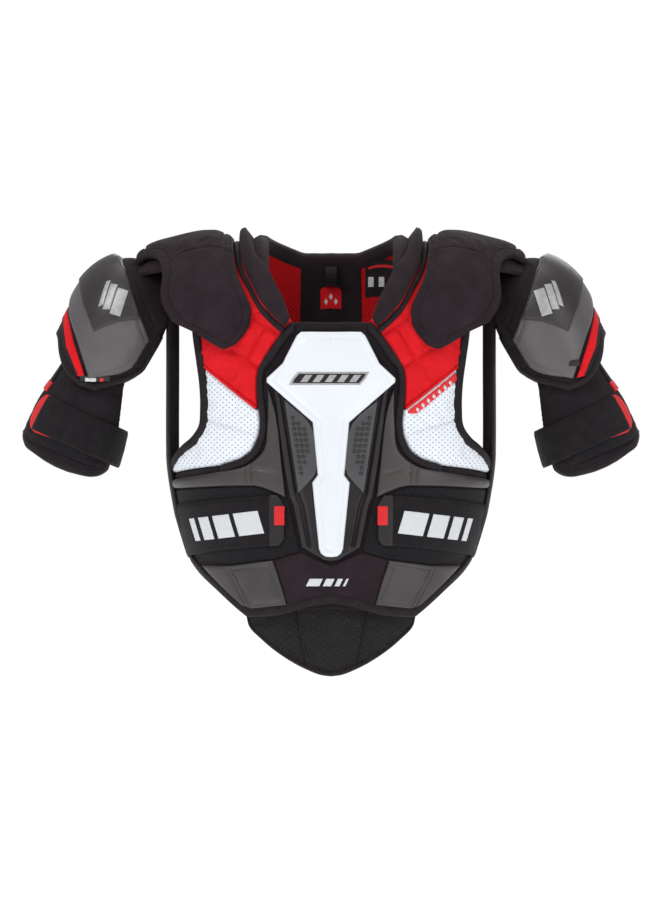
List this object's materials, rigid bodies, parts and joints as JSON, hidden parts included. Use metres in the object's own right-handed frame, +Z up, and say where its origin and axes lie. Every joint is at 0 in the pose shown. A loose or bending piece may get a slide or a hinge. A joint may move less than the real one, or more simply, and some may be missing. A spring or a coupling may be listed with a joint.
{
  "type": "ice hockey shoulder pads",
  "caption": "Chest and back protector worn over the shoulders, with floating shoulder caps, domed upper-arm guards, lower-arm wraps, a belly flap and elastic side straps.",
  "frame": {"origin": "midway between the two shoulder seats, level with the top of the wearer's shoulders inside the neck opening", "axes": "the wearer looks along -Y; +X is towards the wearer's left arm; +Z is up"},
  "size_m": [0.7562, 0.2749, 0.5368],
  "materials": {
    "black_knit": "matte stretch knit, warm black",
    "black_foam": "matte knit over foam, black",
    "binding": "ribbed black edge tape",
    "thread": "black stitching thread",
    "loop_pile": "fuzzy black loop pile",
    "black_mesh": "black textured spacer mesh",
    "grey_foam": "satin moulded foam, warm dark grey",
    "red_fabric": "bright red woven cover",
    "red_mesh": "red ventilated lining mesh",
    "white_perforated": "cool white perforated cover",
    "white_plate": "satin white moulded plastic",
    "frame_plastic": "dark grey moulded plastic",
    "insert_plastic": "plain moulded plastic, hidden",
    "elastic": "black elastic webbing",
    "print_white": "flat white print",
    "print_silver": "silver transfer print",
    "print_red": "flat red print"
  },
  "bodies": {
    "chest": {"chest_liner": "black_knit", "chest_overlay": "black_foam", "left_clavicle_pad": "red_fabric", "right_clavicle_pad": "red_fabric", "left_side_chest_pad": "white_perforated", "right_side_chest_pad": "white_perforated", "left_rib_pad": "grey_foam", "right_rib_pad": "grey_foam", "left_belly_patch": "grey_foam", "right_belly_patch": "grey_foam", "left_loop_panel": "loop_pile", "right_loop_panel": "loop_pile", "belly_band": "black_knit", "sternum_frame": "frame_plastic", "sternum_plate": "white_plate", "left_sternum_wing": "frame_plastic", "right_sternum_wing": "frame_plastic", "left_yoke_pad": "black_knit", "right_yoke_pad": "black_knit", "left_collar": "black_knit", "right_collar": "black_knit"},
    "back": {"back_lining": "red_mesh", "left_back_pad": "black_foam", "right_back_pad": "black_foam", "left_kidney_pad": "grey_foam", "right_kidney_pad": "grey_foam", "spine_pad": "black_foam", "spine_plate": "frame_plastic", "back_collar": "black_knit", "hanger_label": "red_fabric", "hanger_loop": "elastic", "left_side_strap_rear": "elastic", "right_side_strap_rear": "elastic"},
    "belly_flap": {"belly_pad": "black_foam"},
    "left_cap": {"left_cap_cover": "black_knit", "left_cap_insert": "insert_plastic"},
    "left_upper_arm": {"left_bicep_pad": "black_foam", "left_bicep_guard": "grey_foam", "left_bicep_patch": "frame_plastic", "left_bicep_side": "red_fabric"},
    "left_lower_arm": {"left_arm_wrap": "black_foam", "left_arm_strap_anchor": "elastic", "left_arm_link": "elastic"},
    "left_arm_strap_flap": {"left_arm_strap": "elastic"},
    "left_side_strap_flap": {"left_side_strap": "elastic", "left_strap_tab": "frame_plastic"},
    "right_cap": {"right_cap_cover": "black_knit", "right_cap_insert": "insert_plastic"},
    "right_upper_arm": {"right_bicep_pad": "black_foam", "right_bicep_guard": "grey_foam", "right_bicep_patch": "frame_plastic", "right_bicep_side": "red_fabric"},
    "right_lower_arm": {"right_arm_wrap": "black_foam", "right_arm_strap_anchor": "elastic", "right_arm_link": "elastic"},
    "right_arm_strap_flap": {"right_arm_strap": "elastic"},
    "right_side_strap_flap": {"right_side_strap": "elastic", "right_strap_tab": "frame_plastic"}
  },
  "joints": [
    {"name": "back_flare", "type": "hinge", "parent": "chest", "child": "back", "pos_m": [0, 0.058, 0.004], "axis": [1, 0, 0], "range_deg": [0, 10]},
    {"name": "belly_flap_fold", "type": "hinge", "parent": "chest", "child": "belly_flap", "pos_m": [0, -0.1065, -0.43], "axis": [-1, 0, 0], "range_deg": [-12, 25], "stiffness_Nm_per_rad": 0.3, "springref_deg": -0.86},
    {"name": "left_cap_lift", "type": "hinge", "parent": "chest", "child": "left_cap", "pos_m": [0.118, 0, 0.014], "axis": [0, -1, 0], "range_deg": [0, 27]},
    {"name": "left_upper_arm_raise", "type": "hinge", "parent": "left_cap", "child": "left_upper_arm", "pos_m": [0.226, 0, -0.004], "axis": [0, -1, 0], "range_deg": [-6, 50], "stiffness_Nm_per_rad": 1.5, "springref_deg": 4.58},
    {"name": "left_lower_arm_swing", "type": "hinge", "parent": "left_upper_arm", "child": "left_lower_arm", "pos_m": [0.322, 0, -0.135], "axis": [0, -1, 0], "range_deg": [-3, 18], "stiffness_Nm_per_rad": 0.8, "springref_deg": -0.69},
    {"name": "left_arm_strap_peel", "type": "hinge", "parent": "left_lower_arm", "child": "left_arm_strap_flap", "pos_m": [0.2513, 0, -0.2356], "axis": [0.2441, 0, -0.9697], "range_deg": [0, 60]},
    {"name": "left_side_strap_peel", "type": "hinge", "parent": "chest", "child": "left_side_strap_flap", "pos_m": [0.1826, -0.0059, -0.33], "axis": [0.2653, 0, 0.9642], "range_deg": [0, 75]},
    {"name": "right_cap_lift", "type": "hinge", "parent": "chest", "child": "right_cap", "pos_m": [-0.118, 0, 0.014], "axis": [0, 1, 0], "range_deg": [0, 27]},
    {"name": "right_upper_arm_raise", "type": "hinge", "parent": "right_cap", "child": "right_upper_arm", "pos_m": [-0.226, 0, -0.004], "axis": [0, 1, 0], "range_deg": [-6, 50], "stiffness_Nm_per_rad": 1.5, "springref_deg": 4.58},
    {"name": "right_lower_arm_swing", "type": "hinge", "parent": "right_upper_arm", "child": "right_lower_arm", "pos_m": [-0.322, 0, -0.135], "axis": [0, 1, 0], "range_deg": [-3, 18], "stiffness_Nm_per_rad": 0.8, "springref_deg": -0.69},
    {"name": "right_arm_strap_peel", "type": "hinge", "parent": "right_lower_arm", "child": "right_arm_strap_flap", "pos_m": [-0.2513, 0, -0.2356], "axis": [0.2441, 0, 0.9697], "range_deg": [0, 60]},
    {"name": "right_side_strap_peel", "type": "hinge", "parent": "chest", "child": "right_side_strap_flap", "pos_m": [-0.1826, -0.0059, -0.33], "axis": [0.2653, 0, -0.9642], "range_deg": [0, 75]}
  ]
}
